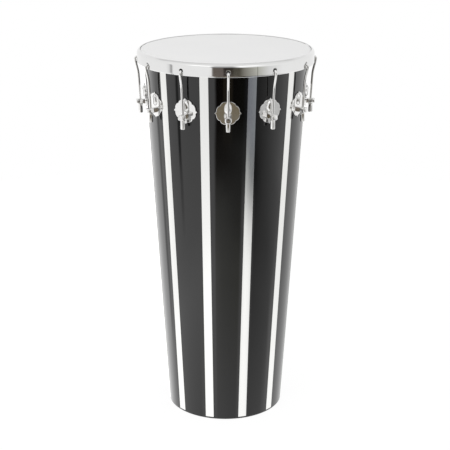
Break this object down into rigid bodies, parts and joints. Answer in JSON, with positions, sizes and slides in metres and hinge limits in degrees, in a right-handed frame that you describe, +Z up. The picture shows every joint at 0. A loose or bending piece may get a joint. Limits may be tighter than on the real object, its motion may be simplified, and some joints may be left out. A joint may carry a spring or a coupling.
{
  "type": "timbal drum",
  "caption": "Tall conical hand drum: striped plywood shell, one plastic head, chromed counterhoop, hooked tension rods, lugs and sleeve nuts.",
  "frame": {"origin": "centre of the shell's bottom rim, on the floor", "axes": "+Z up along the drum's axis to the head; -Y through the front lug"},
  "size_m": [0.3762, 0.3762, 0.78],
  "materials": {
    "plywood": "bare plywood inside, black edge at the foot",
    "black_laminate": "high gloss black with bonded silver strips",
    "hoop_chrome": "polished chrome",
    "flesh_aluminium": "mill finish",
    "white_film": "smooth white polyester film",
    "lug_chrome": "chrome plate",
    "zinc_steel": "zinc plate"
  },
  "bodies": {
    "shell": {"plywood_shell": "plywood", "laminate_covering": "black_laminate", "drumhead_film": "white_film", "lug_01": "lug_chrome", "lug_02": "lug_chrome", "lug_03": "lug_chrome", "lug_04": "lug_chrome", "lug_05": "lug_chrome", "lug_06": "lug_chrome", "lug_07": "lug_chrome", "lug_08": "lug_chrome", "lug_09": "lug_chrome", "lug_10": "lug_chrome", "lug_11": "lug_chrome", "lug_12": "lug_chrome", "lug_bolt_01": "zinc_steel", "lug_bolt_02": "zinc_steel", "lug_bolt_03": "zinc_steel", "lug_bolt_04": "zinc_steel", "lug_bolt_05": "zinc_steel", "lug_bolt_06": "zinc_steel", "lug_bolt_07": "zinc_steel", "lug_bolt_08": "zinc_steel", "lug_bolt_09": "zinc_steel", "lug_bolt_10": "zinc_steel", "lug_bolt_11": "zinc_steel", "lug_bolt_12": "zinc_steel"},
    "hoop": {"counterhoop": "hoop_chrome", "flesh_hoop": "flesh_aluminium", "tension_rod_01": "lug_chrome", "tension_rod_02": "lug_chrome", "tension_rod_03": "lug_chrome", "tension_rod_04": "lug_chrome", "tension_rod_05": "lug_chrome", "tension_rod_06": "lug_chrome", "tension_rod_07": "lug_chrome", "tension_rod_08": "lug_chrome", "tension_rod_09": "lug_chrome", "tension_rod_10": "lug_chrome", "tension_rod_11": "lug_chrome", "tension_rod_12": "lug_chrome"},
    "nut_01": {"sleeve_nut_01": "lug_chrome"},
    "nut_02": {"sleeve_nut_02": "lug_chrome"},
    "nut_03": {"sleeve_nut_03": "lug_chrome"},
    "nut_04": {"sleeve_nut_04": "lug_chrome"},
    "nut_05": {"sleeve_nut_05": "lug_chrome"},
    "nut_06": {"sleeve_nut_06": "lug_chrome"},
    "nut_07": {"sleeve_nut_07": "lug_chrome"},
    "nut_08": {"sleeve_nut_08": "lug_chrome"},
    "nut_09": {"sleeve_nut_09": "lug_chrome"},
    "nut_10": {"sleeve_nut_10": "lug_chrome"},
    "nut_11": {"sleeve_nut_11": "lug_chrome"},
    "nut_12": {"sleeve_nut_12": "lug_chrome"}
  },
  "joints": [
    {"name": "hoop_tension", "type": "slide", "parent": "shell", "child": "hoop", "axis": [0, 0, -1], "range_m": [0, 0.002]},
    {"name": "nut_turn_01", "type": "hinge", "parent": "shell", "child": "nut_01", "pos_m": [0, -0.17634, 0.6552], "axis": [0, 0, 1], "range_deg": [0, 721]},
    {"name": "nut_turn_02", "type": "hinge", "parent": "shell", "child": "nut_02", "pos_m": [0.08817, -0.15272, 0.6552], "axis": [0, 0, 1], "range_deg": [0, 721]},
    {"name": "nut_turn_03", "type": "hinge", "parent": "shell", "child": "nut_03", "pos_m": [0.15272, -0.08817, 0.6552], "axis": [0, 0, 1], "range_deg": [0, 721]},
    {"name": "nut_turn_04", "type": "hinge", "parent": "shell", "child": "nut_04", "pos_m": [0.17634, 0, 0.6552], "axis": [0, 0, 1], "range_deg": [0, 721]},
    {"name": "nut_turn_05", "type": "hinge", "parent": "shell", "child": "nut_05", "pos_m": [0.15272, 0.08817, 0.6552], "axis": [0, 0, 1], "range_deg": [0, 721]},
    {"name": "nut_turn_06", "type": "hinge", "parent": "shell", "child": "nut_06", "pos_m": [0.08817, 0.15272, 0.6552], "axis": [0, 0, 1], "range_deg": [0, 721]},
    {"name": "nut_turn_07", "type": "hinge", "parent": "shell", "child": "nut_07", "pos_m": [0, 0.17634, 0.6552], "axis": [0, 0, 1], "range_deg": [0, 721]},
    {"name": "nut_turn_08", "type": "hinge", "parent": "shell", "child": "nut_08", "pos_m": [-0.08817, 0.15272, 0.6552], "axis": [0, 0, 1], "range_deg": [0, 721]},
    {"name": "nut_turn_09", "type": "hinge", "parent": "shell", "child": "nut_09", "pos_m": [-0.15272, 0.08817, 0.6552], "axis": [0, 0, 1], "range_deg": [0, 721]},
    {"name": "nut_turn_10", "type": "hinge", "parent": "shell", "child": "nut_10", "pos_m": [-0.17634, 0, 0.6552], "axis": [0, 0, 1], "range_deg": [0, 721]},
    {"name": "nut_turn_11", "type": "hinge", "parent": "shell", "child": "nut_11", "pos_m": [-0.15272, -0.08817, 0.6552], "axis": [0, 0, 1], "range_deg": [0, 721]},
    {"name": "nut_turn_12", "type": "hinge", "parent": "shell", "child": "nut_12", "pos_m": [-0.08817, -0.15272, 0.6552], "axis": [0, 0, 1], "range_deg": [0, 721]}
  ],
  "couplings": [
    {"joint": "nut_turn_01", "follows": "hoop_tension", "rad_per_m": 6283.2},
    {"joint": "nut_turn_02", "follows": "hoop_tension", "rad_per_m": 6283.2},
    {"joint": "nut_turn_03", "follows": "hoop_tension", "rad_per_m": 6283.2},
    {"joint": "nut_turn_04", "follows": "hoop_tension", "rad_per_m": 6283.2},
    {"joint": "nut_turn_05", "follows": "hoop_tension", "rad_per_m": 6283.2},
    {"joint": "nut_turn_06", "follows": "hoop_tension", "rad_per_m": 6283.2},
    {"joint": "nut_turn_07", "follows": "hoop_tension", "rad_per_m": 6283.2},
    {"joint": "nut_turn_08", "follows": "hoop_tension", "rad_per_m": 6283.2},
    {"joint": "nut_turn_09", "follows": "hoop_tension", "rad_per_m": 6283.2},
    {"joint": "nut_turn_10", "follows": "hoop_tension", "rad_per_m": 6283.2},
    {"joint": "nut_turn_11", "follows": "hoop_tension", "rad_per_m": 6283.2},
    {"joint": "nut_turn_12", "follows": "hoop_tension", "rad_per_m": 6283.2}
  ]
}
